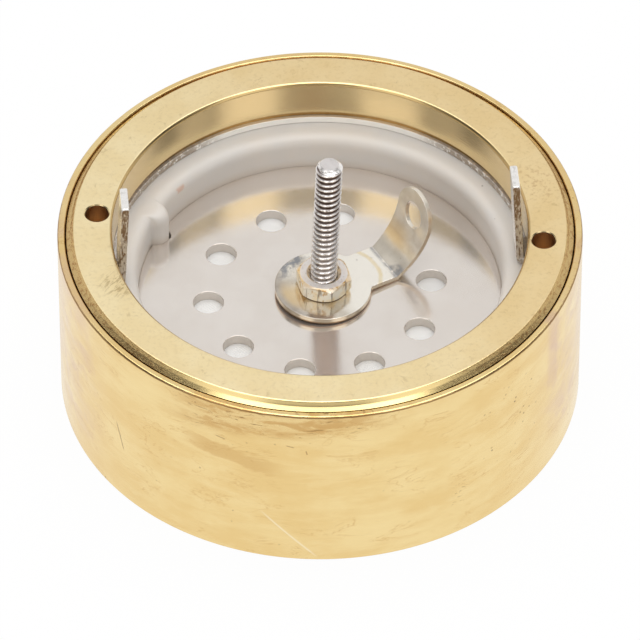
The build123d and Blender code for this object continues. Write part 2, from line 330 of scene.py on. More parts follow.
def joined(cutter, piece, way):
    tool = piece.modifiers.new("cut", "BOOLEAN")
    tool.operation = way
    tool.solver = "EXACT"
    tool.object = cutter
    settle(piece)
    bpy.data.objects.remove(cutter)
    return piece


def easeEdges(piece, width, segments, angle, material):
    soft = piece.modifiers.new("ease", "BEVEL")
    soft.width = width * mm
    soft.segments = segments
    soft.limit_method = "ANGLE"
    soft.angle_limit = radians(angle)
    soft.harden_normals = True
    return settle(piece, material)


# A copy of a solid with its triangles merged and its edges eased.
def easedCopy(name, node, ease, material, angle, reshape=None):
    form = bmesh.new()
    form.from_mesh(solids[node].data)
    bmesh.ops.remove_doubles(form, verts=form.verts, dist=2e-7)
    for vertex in form.verts if reshape else []:
        vertex.co = Vector(reshape(*(vertex.co / mm))) * mm
    flat = [edge for edge in form.edges if len(edge.link_faces) == 2 and edge.calc_face_angle(0) < 0.002]
    bmesh.ops.dissolve_edges(form, edges=flat, use_verts=False)
    mesh = bpy.data.meshes.new(name)
    form.to_mesh(mesh)
    form.free()
    points = [tuple(vertex.co) for vertex in mesh.vertices]
    faces = [tuple(face.vertices) for face in mesh.polygons]
    return easeEdges(makeObject(name, points, faces), ease, 3, angle, material)


def polishedBrass(outerRadius):
    look = {
        "brass": (0.87, 0.655, 0.30),
        "pale": (0.92, 0.735, 0.385),
        "deep": (0.80, 0.56, 0.235),
        "smear": (0.63, 0.385, 0.14),
        "stroke": (0.26, 0.13, 0.045),
        "rosy": (0.72, 0.50, 0.34),
        "pit": (0.22, 0.13, 0.06),
        "scratch": (0.97, 0.86, 0.62),
    }
    f = Finish("housingBrass", {"Metallic": 1.0})
    arc = f.turn * outerRadius  # millimetres round the wall from the front
    cloud = f.noise(0.16, 5.0, 0.6, f.stretched(1, 2.0))
    color = f.tint(f.step(cloud, 0.36, 0.66), look["deep"], look["pale"])
    color = f.tint(0.5, color, look["brass"])
    rubs = f.noise(0.32, 7.0, 0.62, f.stretched(1, 5.0), 0.5)
    color = f.tint(f.step(rubs, 0.53, 0.62) * 0.22, color, look["deep"])
    color = f.tint(f.step(rubs, 0.46, 0.38) * 0.25, color, look["pale"])
    # wandering edges where the tarnish has dried
    edge = f.size(f.noise(0.20, 6.0, 0.6, f.stretched(1, 3.0), 0.9) - 0.5)
    where = f.step(f.noise(0.3, 2.0), 0.46, 0.56)
    color = f.tint(f.step(edge, 0.011, 0.003) * where * 0.45, color, look["smear"])
    # brown smears from handling, under the rim
    band = f.between(f.z - arc * 0.1, 11.3, 14.2, 0.5) * f.between(arc, -9.0, 4.0, 3.0)
    smear = f.noise(0.45, 6.0, 0.62, f.stretched(1, 3.5), 0.6)
    color = f.tint((0.25 + f.step(smear, 0.40, 0.60) * 0.75) * band * 0.85, color, look["smear"])
    stroke = f.noise(0.9, 6.0, 0.62, f.stretched(1, 7.0), 0.6)
    color = f.tint(f.step(stroke, 0.58, 0.66) * band * 0.7, color, look["stroke"])
    # a dried patch with a clear edge, lower down
    patch = f.between(f.z + arc * 0.2 + smear * 1.6, 7.7, 8.9, 0.12) * f.between(arc, -8.6, -3.0, 1.2)
    color = f.tint(patch * 0.45, color, look["smear"])
    rosyNoise = f.noise(0.5, 5.0, 0.6, f.stretched(1, 1.3), 0.6)
    sides = f.step(f.size(arc), 15.5, 20.0) * f.step(f.z, 1.0, 3.0) * f.step(rosyNoise, 0.38, 0.72)
    sides = sides * (0.25 + f.step(f.size(arc), 38.0, 22.0) * 0.75)
    strip = f.between(arc, 17.7, 19.0, 0.35) * f.step(f.z, 6.5, 8.5) * 0.8
    color = f.tint((sides + strip) * 0.6, color, look["rosy"])
    # small pits, thicker on the right
    grains = f.cells(1.25)
    corner = f.between(arc, 11.2, 16.5, 1.0) * f.between(f.z, 4.5, 10.5, 1.5)
    thick = f.step(f.noise(0.35, 2.0), 0.52, 0.62) * 0.5 + corner
    spots = f.step(grains, 0.13, 0.06) * f.step(f.noise(1.1, 1.0), 0.50, 0.55) * thick
    dust = f.step(f.cells(1.7), 0.20, 0.08) * corner * f.step(f.noise(0.8, 2.0), 0.42, 0.52)
    color = f.tint(spots * 0.75 + dust * 0.55, color, look["pit"])
    scratch = f.mark(arc, f.z, (-4.0, 4.3), (0.0, 0.1), 0.05)
    color = f.tint(scratch * 0.5, color, look["scratch"])
    nicks = f.mark(arc, f.z, (-15.0, 6.6), (-14.2, 4.2), 0.03)
    ends = (((-6.9, 10.1), (-6.1, 9.95)), ((-2.2, 10.35), (-1.6, 10.2)), ((-0.9, 10.0), (-0.8, 9.6)))
    for start, end in ends:
        nicks = nicks + f.mark(arc, f.z, start, end, 0.02)
    hatch = f.step(f.noise(2.6, 2.0, 0.5, f.join(arc, arc * 0.5 + f.z * 2.5, 0.0)), 0.60, 0.66)
    hatch = hatch * f.between(arc, 8.9, 9.9, 0.15) * f.between(f.z, 2.6, 4.6, 0.2)
    color = f.tint((nicks + hatch * 0.6) * 0.55, color, look["stroke"])
    # painted shadow: a dark ragged line just under the rim, in place of the shade under the burr left by
    # turning
    rag = f.noise(2.2, 3.0, 0.6, f.stretched(1, 0.3)) * 0.10
    burrShadowLine = f.between(f.z - rag, 12.84, 12.93, 0.03)
    color = f.tint(burrShadowLine * 0.85, color, look["stroke"])
    lines = f.noise(0.35, 2.0, 0.5, f.stretched(1, 60.0))
    grain = f.noise(6.0, 3.0, 0.6)
    height = lines * 0.5 + grain * 0.25 + rubs * 0.6 - spots * 2 - nicks * 1.5
    rough = 0.16 + rubs * 0.12 + smear * band * 0.12
    return f.close(color, rough, f.bump(height, 0.012, 0.6))


def turnedBrass(v):
    look = {
        "face": (0.86, 0.70, 0.40),
        "pale": (0.90, 0.755, 0.46),
        "bore": (0.83, 0.66, 0.36),
        "edge": (0.86, 0.66, 0.30),
        "deeper": (0.93, 0.86, 0.77),
        "lip": (0.76, 0.67, 0.54),
        "smudge": (0.55, 0.42, 0.22),
        "rub": (0.42, 0.30, 0.14),
        "torn": (0.42, 0.23, 0.085),
        "drilled": (0.52, 0.33, 0.19),
        "relief": (0.50, 0.33, 0.14),
    }
    f = Finish("lockRingBrass", {"Metallic": 1.0})
    below = v["top"] - f.z
    up = f.facing()[2]
    face = f.step(up, 0.85, 0.97) * f.step(below, 0.10, 0.03)
    cloud = f.noise(0.35, 5.0, 0.6)
    fine = f.noise(3.2, 4.0, 0.65)
    faceColor = f.tint(f.step(cloud, 0.35, 0.65), look["face"], look["pale"])
    faceColor = f.tint(f.step(fine, 0.45, 0.75) * 0.25, faceColor, look["smudge"])
    veins = f.step(f.noise(1.3, 7.0, 0.7, f.place, 0.7), 0.58, 0.68)
    faceColor = f.tint(veins * 0.30, faceColor, look["rub"])
    # rubbed in lines beside the left hand tab, and faint smudges beside the right hand one
    near = f.step(((f.x + 12.9) ** 2 + (f.y + 5.3) ** 2) ** 0.5, 1.7, 0.5)
    lined = f.noise(1.8, 4.0, 0.65, f.join(f.x * 2.2 - f.y * 1.6, f.x * 0.4 + f.y * 0.6, 0.0))
    faceColor = f.tint(near * f.step(lined, 0.48, 0.60) * 0.65, faceColor, look["rub"])
    far = f.step(((f.x - 13.7) ** 2 + (f.y - 3.9) ** 2) ** 0.5, 2.6, 0.8)
    faceColor = f.tint(far * f.step(fine, 0.50, 0.66) * 0.35, faceColor, look["drilled"])
    # the face is a little deeper in colour at the back and on the right
    faceColor = f.tint(f.step(f.x + f.y * 0.7, -8.0, 10.0) * 0.9, faceColor, look["deeper"], "MULTIPLY")
    color = f.tint(face, look["bore"], faceColor)
    # painted shade: the bore's upper inner edge is multiplied darker, to dim its highlight
    lip = f.step(f.r - v["opening"], 0.17, 0.11) * f.step(below, 0.21, 0.14)
    color = f.tint(lip * 0.9, color, look["lip"], "MULTIPLY")
    chamfer = f.step(v["outerRadius"] - f.r, 0.50, 0.44)
    color = f.tint(chamfer, color, look["edge"])
    pull = f.noise(3.0, 5.0, 0.7, f.stretched(1, 2.5))
    pulled = chamfer * f.between(f.size(f.turn), 0.6, 2.1, 0.2)
    color = f.tint(pulled * (0.45 + f.step(pull, 0.50, 0.62) * 0.45), color, look["torn"])
    relief = f.step(f.z - v["bottom"], 0.55, 0.44) * f.step(f.r - v["opening"], 0.75, 0.55)
    torn = f.noise(2.4, 4.0, 0.65, f.stretched(1.2, 2.0))
    color = f.tint(relief * (0.45 + torn), color, look["relief"])
    well = 0
    for side in (0, 180):
        turn = radians(v["holeTurn"] + side)
        holeX, holeY = v["holeCircle"] * cos(turn), v["holeCircle"] * sin(turn)
        gap = ((f.x - holeX) ** 2 + (f.y - holeY) ** 2) ** 0.5 - v["holeRadius"]
        well = f.step(gap, 0.025, -0.010) * f.step(below, 0.02, 0.10) + well
    drill = f.noise(0.8, 3.0, 0.6, f.stretched(1, 30.0))
    color = f.tint(well * (0.70 + drill * 0.4), color, look["drilled"])
    rings = f.noise(9.0, 2.0, 0.5, f.join(f.r, 0.0, f.z))
    rough = 0.17 + face * 0.11 + fine * 0.06 + well * 0.2
    height = rings * 0.35 + fine * 0.5 * face + f.noise(0.9, 3.0) * 0.5 + pulled * pull * 5
    return f.close(color, rough, f.bump(height, 0.010, 0.6))


def sheetNickel():
    look = {"plate": (0.90, 0.88, 0.85), "worn": (0.62, 0.58, 0.54), "sheared": (0.25, 0.16, 0.09),
            "fresh": (0.72, 0.66, 0.57), "edge": (1.0, 0.985, 0.94),
            "warm": (0.86, 0.66, 0.40), "grime": (0.34, 0.26, 0.18)}
    f = Finish("washerNickel", {})
    normal = f.facing()
    tab = f.step(f.z, 10.3, 10.6)
    side = f.step(f.size(normal[1]), 0.75, 0.95) * tab
    color = f.tint(f.step(f.noise(2.6, 5.0, 0.68), 0.50, 0.68) * 0.6, look["plate"], look["worn"])
    streak = f.noise(2.4, 5.0, 0.7, f.stretched(3.0, 0.8))
    low = f.step(f.z, 15.8, 13.0)  # the sheared edge is lighter towards its foot
    torn = f.tint(f.step(streak + low * 0.10, 0.50, 0.62), look["sheared"], look["fresh"])
    color = f.tint(side, color, torn)
    # its inner edge carries a painted highlight, near white on its inward face and warm on its top, with its
    # metal turned down so that the colour shows; it is scuffed towards the tabs
    inner = f.step(f.r, 13.75, 13.6) * (1 - tab)
    scuff = f.step(f.size(f.x), 6.0, 9.0) * f.step(f.noise(3.0, 4.0, 0.7), 0.36, 0.50)
    ledge = f.step(normal[2], 0.6, 0.9)
    color = f.tint(inner * (1 - scuff), color, f.tint(ledge, look["edge"], look["warm"]))
    # painted shade: the foot of the inner edge is darker
    color = f.tint(inner * f.step(f.z, 10.03, 9.94) * 0.6, color, look["worn"])
    color = f.tint(inner * scuff * 0.85, color, look["grime"])
    rough = 0.16 + side * 0.25 + f.noise(4.0, 3.0) * 0.10
    height = streak * side * 2.5 + f.noise(2.0, 3.0) * (0.2 + tab * 0.5)
    return f.close(color, rough, f.bump(height, 0.025, 0.7), 0.85 - inner * 0.7)


def whiteNylon():
    look = {"nylon": (0.70, 0.655, 0.605), "cool": (0.67, 0.645, 0.615), "foot": (0.62, 0.53, 0.44),
            "speck": (0.10, 0.09, 0.08), "red": (0.62, 0.36, 0.24)}
    f = Finish("whiteNylon", {"IOR": 1.5, "Subsurface Weight": 0.3,
                              "Subsurface Radius": (1.0, 0.9, 0.8), "Subsurface Scale": 0.0012})
    color = f.tint(f.step(f.noise(0.22, 3.0), 0.35, 0.65), look["nylon"], look["cool"])
    # painted shade: the foot of the well wall, next to the plate, is darker and warmer
    foot = f.step(f.z, 8.3, 7.5) * f.step(f.r, 12.3, 12.0)
    color = f.tint(foot * 0.6, color, look["foot"])
    specks = f.step(f.cells(0.45), 0.045, 0.03)
    color = f.tint(specks * 0.7, color, look["speck"])
    rust = f.mark(f.x, f.y, (-9.4, 7.2), (-8.8, 7.95), 0.08, 0.25) * f.between(f.z, 9.25, 9.6, 0.1)
    color = f.tint(rust * f.step(f.noise(2.5, 3.0), 0.35, 0.55) * 0.6, color, look["red"])
    height = f.noise(1.6, 4.0, 0.5) * 0.6 + f.noise(7.0, 2.0) * 0.3
    rough = 0.34 + f.noise(1.2, 3.0) * 0.14
    return f.close(color, rough, f.bump(height, 0.015, 0.5))


def satinNickel():
    look = {"plate": (0.79, 0.73, 0.675), "pale": (0.82, 0.765, 0.715), "fleck": (0.30, 0.27, 0.24),
            "hole": (0.66, 0.61, 0.56)}
    f = Finish("plateNickel", {"Metallic": 0.82})
    color = f.tint(f.step(f.noise(0.30, 4.0), 0.35, 0.65), look["plate"], look["pale"])
    flecks = f.step(f.cells(0.8), 0.06, 0.03) * f.step(f.noise(0.7, 1.0), 0.5, 0.55)
    color = f.tint(flecks * 0.6, color, look["fleck"])
    under = f.step(f.z, 7.47, 7.40)
    color = f.tint(under * 0.7, color, look["hole"])
    rough = 0.11 + f.noise(2.5, 4.0, 0.65) * 0.09 + under * 0.25
    height = f.noise(1.2, 3.0, 0.5) * 0.4 + f.noise(8.0, 3.0, 0.6) * 0.2
    return f.close(color, rough, f.bump(height, 0.012, 0.5))


def brightSteel():
    look = {"steel": (0.86, 0.82, 0.79), "pale": (0.96, 0.94, 0.92), "grime": (0.10, 0.06, 0.045),
            "dull": (0.50, 0.47, 0.46), "brown": (0.44, 0.28, 0.17)}
    f = Finish("screwSteel", {"Metallic": 0.8})
    color = f.tint(f.step(f.noise(1.5, 4.0), 0.4, 0.65), look["steel"], look["pale"])
    axisX = f.x - (f.z - stand["foot"]) * tan(radians(stand["lean"]))
    depth = (axisX * axisX + f.y * f.y) ** 0.5
    blot = f.noise(2.6, 5.0, 0.7)
    groove = f.step(depth + blot * 0.10, 0.90, 0.80) * f.step(f.z, 18.72, 18.66)
    lowerGrooveLight = 0.5 + f.step(f.z, 10.5, 15.5) * 0.5  # painted light: the lower grooves are less dark, lit by light off the lug
    color = f.tint(groove * lowerGrooveLight * (0.75 + blot * 0.4), color, look["grime"])
    # painted shade: the thread's downward faces are tinted brown
    undersideShade = f.step(f.facing()[2], 0.0, -0.35)
    color = f.tint(undersideShade * 0.9, color, look["brown"])
    color = f.tint(f.step(blot, 0.56, 0.66) * 0.65, color, look["grime"])
    tip = f.step(f.z + axisX * 0.037, 18.95, 18.98)
    color = f.tint(tip * (0.5 + blot * 0.6), color, look["dull"])
    rough = 0.13 + f.noise(5.0, 4.0) * 0.12 + groove * 0.2 + tip * 0.2
    return f.close(color, rough, f.bump(f.noise(5.0, 5.0, 0.65), 0.05, 0.7))


def brightNut(foot):
    look = {"gold": (1.0, 0.84, 0.56), "pale": (1.0, 0.97, 0.87), "amber": (0.62, 0.35, 0.09),
            "worn": (0.60, 0.56, 0.55), "grime": (0.16, 0.09, 0.05)}
    f = Finish("nutNickel", {"Metallic": 0.2, "Specular IOR Level": 0.8})
    normal = f.facing()
    up = f.step(normal[2], 0.90, 0.97)
    lean = radians(stand["lean"])
    height = f.z * cos(lean) + f.x * sin(lean) - stand["foot"] * cos(lean) - foot  # above the nut's foot
    color = f.tint(f.step(f.noise(1.1, 4.0), 0.38, 0.60), look["gold"], look["pale"])
    stain = f.step(f.noise(2.0, 5.0, 0.65, f.stretched(1.4, 0.7)), 0.55, 0.63)
    rag = f.step(height + f.noise(2.4, 4.0, 0.7) * 0.5, 1.15, 1.35) * (1 - up)
    color = f.tint((stain + rag * 0.6) * 0.75, color, look["amber"])
    tool = f.step(f.noise(3.0, 2.0, 0.5, f.stretched(1.5, 0.12)), 0.60, 0.65) * (1 - up)
    # painted shade: a dark thin line round the nut's foot, where it sits on the lug
    contactShade = f.step(height, 0.09, 0.03)
    color = f.tint(tool * 0.65 + contactShade * 0.9, color, look["grime"])
    wear = f.noise(3.0, 5.0, 0.7)
    color = f.tint(up * (0.65 + wear * 0.4), color, look["worn"])
    color = f.tint(up * f.step(wear, 0.58, 0.68) * 0.6, color, look["grime"])
    rough = 0.16 + up * 0.28 + wear * 0.10
    bumps = wear * (0.15 + up * 0.9) + f.noise(1.2, 3.0) * 0.4
    return f.close(color, rough, f.bump(bumps, 0.05, 0.7))


def tinnedLug(turn):
    look = {"tin": (0.84, 0.78, 0.68), "cream": (0.95, 0.91, 0.83), "gold": (0.80, 0.60, 0.33),
            "dull": (0.60, 0.54, 0.45), "blue": (0.27, 0.28, 0.30), "stain": (0.82, 0.66, 0.36),
            "grime": (0.25, 0.18, 0.12), "brown": (0.36, 0.20, 0.09), "sheared": (0.86, 0.74, 0.56),
            "under": (0.19, 0.13, 0.09), "brass": (0.68, 0.43, 0.24), "smoke": (0.40, 0.35, 0.30),
            "sideEdge": (0.56, 0.40, 0.24)}
    f = Finish("lugTinned", {})
    c, s = cos(turn), sin(turn)
    along = f.x * c + f.y * s  # from the screw towards the lug's eye
    aside = f.y * c - f.x * s
    arm = f.step(along, 4.6, 4.9)
    wave = f.noise(0.8, 3.0)
    color = f.tint(f.step(f.noise(0.6, 4.0), 0.35, 0.65) * 0.7, look["tin"], look["dull"])
    bright = f.step(along + wave * 1.2, 0.6, 1.8) * f.step(along, 5.0, 4.4)
    color = f.tint(bright * 0.9, color, look["cream"])
    # blue grey tarnish at the back left of the disc, warm at the front left
    tarnish = f.between(f.turn, -2.8, -1.75, 0.25) * f.step(f.r, 1.9, 2.6) * f.step(f.r, 3.3, 3.1)
    mottle = f.step(f.noise(1.5, 6.0, 0.72), 0.42, 0.62)
    color = f.tint(tarnish * mottle * 0.9, color, look["blue"])
    left = f.step(f.x + f.y * 0.4 + wave, -0.9, -2.2) * f.step(f.z, 8.4, 8.3)
    color = f.tint(left * (0.35 + f.noise(0.9, 5.0, 0.65) * 0.8), color, look["smoke"])
    warm = f.between(f.turn, -1.5, -0.5, 0.35) * f.step(f.r, 2.9, 2.3) * f.step(f.z, 8.4, 8.3)
    color = f.tint(warm * 0.75, color, look["gold"])
    low = f.step(aside, -0.4, -1.3) * 0.5  # the painted shade at the bend widens towards its lower corner
    reach = along + wave * 0.3
    normal = f.facing()
    edge = f.step(f.size(normal[1] * c - normal[0] * s), 0.55, 0.85) * arm
    color = f.tint(edge * 0.6, color, look["sideEdge"])
    # painted shade: a mottled blue grey band across the arm's bend
    bend = f.step(reach, 4.66, 4.94) * f.step(reach - low, 5.12, 4.84)
    bend = bend * f.step(f.noise(1.6, 5.0, 0.65), 0.36, 0.54)
    color = f.tint(bend * 0.8, color, look["blue"])
    flow = f.size(((along - 1.9) * (along - 1.9) + aside * aside * 0.8) ** 0.5 - 2.1 - wave * 0.3)
    drip = f.step(flow, 0.22, 0.05) * f.step(along, 2.8, 3.2) * f.step(along, 4.9, 4.6)
    color = f.tint(drip * (0.15 + wave * 0.8), color, look["stain"])
    # painted light: a gold band across the middle of the arm
    glow = f.between(f.z, 8.7, 9.9, 0.4) * f.step(aside, -1.2, 0.4) * f.step(along, 4.9, 5.3)
    color = f.tint(glow * 0.6, color, look["gold"])
    color = f.tint(f.step(f.noise(3.2, 5.0, 0.65), 0.64, 0.72) * 0.35, color, look["grime"])
    # painted shade and light: downward faces are dark brown under the arm and warm brass under the disc, so
    # that the plate's reflection of them shows a dark streak and a gold line
    below = f.step(normal[2], 0.0, -0.4)
    color = f.tint(below * 0.85, color, f.tint(arm, look["brass"], look["under"]))
    rim = f.step(f.size(normal[2]), 0.25, 0.12) * f.step(f.z, 8.4, 8.3)
    color = f.tint(rim * 0.8, color, look["sheared"])
    level = f.z + f.x * stand["slope"]  # square to the leaning screw
    # painted shadow: the lowest part of the disc's rim is dark brown, in place of the thin gap under the disc
    color = f.tint(rim * f.step(level, 7.80, 7.74) * 0.9, color, look["brown"])
    rough = 0.09 + f.noise(1.6, 4.0) * 0.08 + bright * 0.08 + bend * 0.1
    height = f.noise(0.9, 3.0, 0.5) * 0.9 + f.noise(5.0, 4.0, 0.6) * 0.25
    return f.close(color, rough, f.bump(height, 0.03, 0.5), 0.9 - arm * 0.45)


def plainBrass(name, tone):
    f = Finish(name, {"Metallic": 1.0})
    dark = tuple(0.8 * part for part in tone)
    color = f.tint(f.step(f.noise(0.5, 4.0), 0.35, 0.65), tone, dark)
    rings = f.noise(7.0, 2.0, 0.5, f.join(f.r, 0.0, f.z))
    return f.close(color, 0.24 + rings * 0.12, f.bump(rings + f.noise(5.0, 3.0) * 0.4, 0.008, 0.6))


def goldFilm():
    f = Finish("goldFilm", {"Metallic": 1.0, "Coat Weight": 0.3, "Coat Roughness": 0.04})
    color = f.tint(f.step(f.noise(0.2, 3.0), 0.35, 0.7), (0.90, 0.66, 0.27), (0.94, 0.73, 0.36))
    ripple = f.noise(0.3, 3.0, 0.4)
    return f.close(color, 0.06 + ripple * 0.05, f.bump(ripple, 0.02, 0.3))


def clearFilm():
    f = Finish("spacerFilm", {"IOR": 1.6, "Specular IOR Level": 0.6})
    color = f.tint(f.noise(0.8, 3.0), (0.62, 0.52, 0.30), (0.70, 0.62, 0.42))
    return f.close(color, 0.16 + f.noise(2.0, 3.0) * 0.12, f.bump(f.noise(3.0, 3.0), 0.006, 0.5))


def wovenCloth():
    f = Finish("dampingCloth", {"IOR": 1.4, "Sheen Weight": 0.3})
    warp = f.math("SINE", f.x * 28.0)
    weft = f.math("SINE", f.y * 28.0)
    weave = warp * weft * 0.5 + 0.5
    color = f.tint(weave * 0.5 + f.noise(0.6, 3.0) * 0.4, (0.72, 0.71, 0.69), (0.92, 0.92, 0.91))
    return f.close(color, 0.85 + weave * 0.1, f.bump(weave + f.noise(4.0, 3.0) * 0.5, 0.04, 0.7))


housing = {
    "outerRadius": 17.0, "height": 13.02, "boreRadius": 16.48, "columns": 320,
    "lipOpening": 13.2, "lipThickness": 1.0, "lipBevel": 0.4, "lipEase": 0.05, "footEase": 0.10,
    "rimChamfer": 0.1, "rimEase": 0.06, "mouthChamfer": 0.1, "mouthEase": 0.03,
    "threadPitch": 0.5, "threadDepth": 0.19, "threadBottom": 9.95, "threadTop": 12.6,
    "crestShare": 0.12, "rootShare": 0.06, "runOut": 0.1,
}


def makeHousing(v, finish):
    outer, height, bore = v["outerRadius"], v["height"], v["boreRadius"]
    low, high = v["threadBottom"], v["threadTop"]
    corners = [
        (outer, 0.0, v["footEase"]),
        (outer, height - v["rimChamfer"], v["rimEase"]),
        (outer - v["rimChamfer"], height, v["rimEase"]),
        (bore + v["mouthChamfer"], height, v["mouthEase"]),
        (bore, height - v["mouthChamfer"], 0.0),
        (bore, v["lipThickness"], 0.0),
        (v["lipOpening"], v["lipThickness"], 0.0),
        (v["lipOpening"], v["lipBevel"], v["lipEase"]),
        (v["lipOpening"] + v["lipBevel"], 0.0, v["lipEase"]),
    ]
    section = fillRows(soften(corners), bore, low, high, v["threadPitch"] / 8)
    piece = turnedPiece("housingShell", section, v["columns"])
    cutThread(piece, finish, v, bore, -v["threadDepth"], low, high)
    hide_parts("housing")
    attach(piece, "capsule")


makeHousing(housing, polishedBrass(housing["outerRadius"]))
print("housing made")


lockRing = {
    "outerRadius": 16.42, "opening": 13.45, "bottom": 10.4, "top": 13.4, "columns": 320,
    "edgeWidth": 0.18, "edgeDepth": 0.25, "slopeWidth": 0.28, "slopeDepth": 0.2, "creaseEase": 0.04,
    "edgeEase": 0.06, "innerChamfer": 0.15, "innerEase": 0.07,
    "reliefDepth": 0.25, "reliefHeight": 0.45, "reliefEase": 0.03,
    "threadPitch": 0.5, "threadDepth": 0.19, "crestShare": 0.12, "rootShare": 0.06, "runOut": 0.1,
    "threadStart": 0.04, "threadEnd": 0.3,
    "holeRadius": 0.775, "holeDepth": 2.2, "holePoint": 0.25, "holeEdge": 0.07,
    "holeCircle": 14.5, "holeTurn": -4.9,
}


def makeLockRing(v, finish):
    outer, bore, low, high = v["outerRadius"], v["opening"], v["bottom"], v["top"]
    crease = outer - v["slopeWidth"]
    threadTop = high - v["edgeDepth"] - v["slopeDepth"]
    corners = [
        (outer, low, 0.0),
        (outer, threadTop, 0.0),
        (crease, high - v["edgeDepth"], v["creaseEase"]),
        (crease - v["edgeWidth"], high, v["edgeEase"]),
        (bore + v["innerChamfer"], high, v["innerEase"]),
        (bore, high - v["innerChamfer"], v["edgeEase"]),
        (bore, low + v["reliefHeight"], v["reliefEase"]),
        (bore + v["reliefDepth"], low + v["reliefHeight"], 0.0),
        (bore + v["reliefDepth"], low, 0.0),
    ]
    section = fillRows(soften(corners), outer, low + 0.05, threadTop - 0.03, v["threadPitch"] / 8)
    piece = turnedPiece("lockRingBody", section, v["columns"])
    hole, wide, floor = v["holeRadius"], v["holeRadius"] + v["holeEdge"], high - v["holeDepth"]
    mouth, end = high + 0.01, high + 0.4  # the tool starts just above the face and ends clear of it
    bit = [(0.0, floor - v["holePoint"]), (hole, floor), (hole, mouth - v["holeEdge"]),
           (wide, mouth), (wide, end), (0.0, end)]
    for side in (0, 180):
        turn = radians(v["holeTurn"] + side)
        cutter = turnedPiece("spannerBit", bit, 40, False)
        spot = (v["holeCircle"] * cos(turn) * mm, v["holeCircle"] * sin(turn) * mm, 0)
        cutter.data.transform(Matrix.Translation(spot))
        piece = joined(cutter, piece, "DIFFERENCE")
    piece.data.shade_smooth()
    piece.data.set_sharp_from_angle(angle=radians(40))
    cutThread(piece, finish, v, outer, v["threadDepth"], low + v["threadStart"], threadTop - v["threadEnd"])
    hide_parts("lock_ring")
    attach(piece, "lock_ring")


makeLockRing(lockRing, turnedBrass(lockRing))
print("lock ring made")


insulator = {
    "outerRadius": 16.42, "wellRadius": 11.85, "webOpening": 10.95, "pocketRadius": 12.3,
    "bottom": 2.3, "webBottom": 5.3, "webTop": 6.75, "shelf": 9.9, "shelfRound": 0.85,
    "edgeEase": 0.1, "webEase": 0.05, "keyAngle": 154.2, "keyRadius": 0.78,
    "keyBlend": 0.3, "keyCrease": 0.15,  # hollow at the key's foot, in front and behind
    "columnStep": 1.5, "keyStep": 0.12, "keySteps": (-34, 50),  # in degrees, closer together at the key
}


# A half-round rib on a flat wall, with a hollow blend at its foot.
def keyRise(side, rib, blend):
    reach = ((rib + blend) ** 2 - blend ** 2) ** 0.5
    if side >= reach:
        return 0.0
    if side > reach * rib / (rib + blend):
        return blend - (blend ** 2 - (reach - side) ** 2) ** 0.5
    return (rib ** 2 - side ** 2) ** 0.5


def makeInsulator(v, finish):
    well = v["wellRadius"]
    corners = [
        (v["outerRadius"], v["bottom"], v["edgeEase"]),
        (v["outerRadius"], v["shelf"], v["edgeEase"]),
        (well + 2.0, v["shelf"], 0.0),
        (well, v["shelf"], v["shelfRound"]),
        (well, v["webTop"] + 0.05, 0.0),
        (well, v["webTop"], 0.0),
        (v["webOpening"], v["webTop"], v["webEase"]),
        (v["webOpening"], v["webBottom"], v["webEase"]),
        (v["pocketRadius"], v["webBottom"], 0.0),
        (v["pocketRadius"], v["bottom"], v["edgeEase"]),
    ]
    keyTurn = radians(v["keyAngle"])

    def key(r, z, turn):
        if z < v["webTop"] + 0.01 or r > well + v["shelfRound"] + 0.2:
            return 0.0
        along = (turn - keyTurn) * well
        return keyRise(abs(along), v["keyRadius"], v["keyBlend"] if along > 0 else v["keyCrease"])

    coarse = [radians(v["columnStep"] * step) for step in range(int(360 / v["columnStep"]))]
    fine = [keyTurn + radians(v["keyStep"] * step) for step in range(*v["keySteps"])]
    turns = sorted([turn for turn in coarse if not fine[0] - 0.005 < turn < fine[-1] + 0.005] + fine)
    piece = turnedPiece("insulatorBody", soften(corners, 8), turns, True, key)
    piece.data.set_sharp_from_angle(angle=radians(50))
    dress(piece, finish)
    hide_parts("insulator")
    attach(piece, "capsule")


makeInsulator(insulator, whiteNylon())

plate = {
    "ease": 0.035, "easeAngle": 40, "rimRadius": 11.845, "rimFrom": 11.75,
    "notchRoom": 0.95, "notchGapFront": 0.01, "notchGapBack": 0.12,
}


# The plate reaches the wall that it is pressed into, and closes round the front of the key.
def seatedRim(x, y, z):
    r = (x * x + y * y) ** 0.5
    turn = radians(insulator["keyAngle"])
    keyX, keyY = insulator["wellRadius"] * cos(turn), insulator["wellRadius"] * sin(turn)
    gap = ((x - keyX) ** 2 + (y - keyY) ** 2) ** 0.5
    if gap < plate["notchRoom"]:
        behind = (x - keyX) * sin(turn) - (y - keyY) * cos(turn) > 0.2
        reach = insulator["keyRadius"] + plate["notchGapBack" if behind else "notchGapFront"]
        return (keyX + (x - keyX) * reach / gap, keyY + (y - keyY) * reach / gap, z)
    if r > plate["rimFrom"]:
        return (x * plate["rimRadius"] / r, y * plate["rimRadius"] / r, z)
    return (x, y, z)


plateFinish = satinNickel()
plateSheet = easedCopy("plateSheet", "rear_plate", plate["ease"], plateFinish, plate["easeAngle"], seatedRim)
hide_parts("rear_plate")
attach(plateSheet, "capsule")
print("insulator and rear plate made")


washer = {"ease": 0.12, "easeAngle": 32}
washerFinish = sheetNickel()
washerSheet = easedCopy("washerSheet", "contact_washer", washer["ease"], washerFinish, washer["easeAngle"])
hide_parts("contact_washer")
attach(washerSheet, "contact_washer")

lug = {
    "ease": 0.055, "easeAngle": 32, "turn": 30.5,  # the way that its arm points
    "underside": 7.5, "dropBelow": 0.3, "collarRadius": 1.75, "drop": 0.1,
}


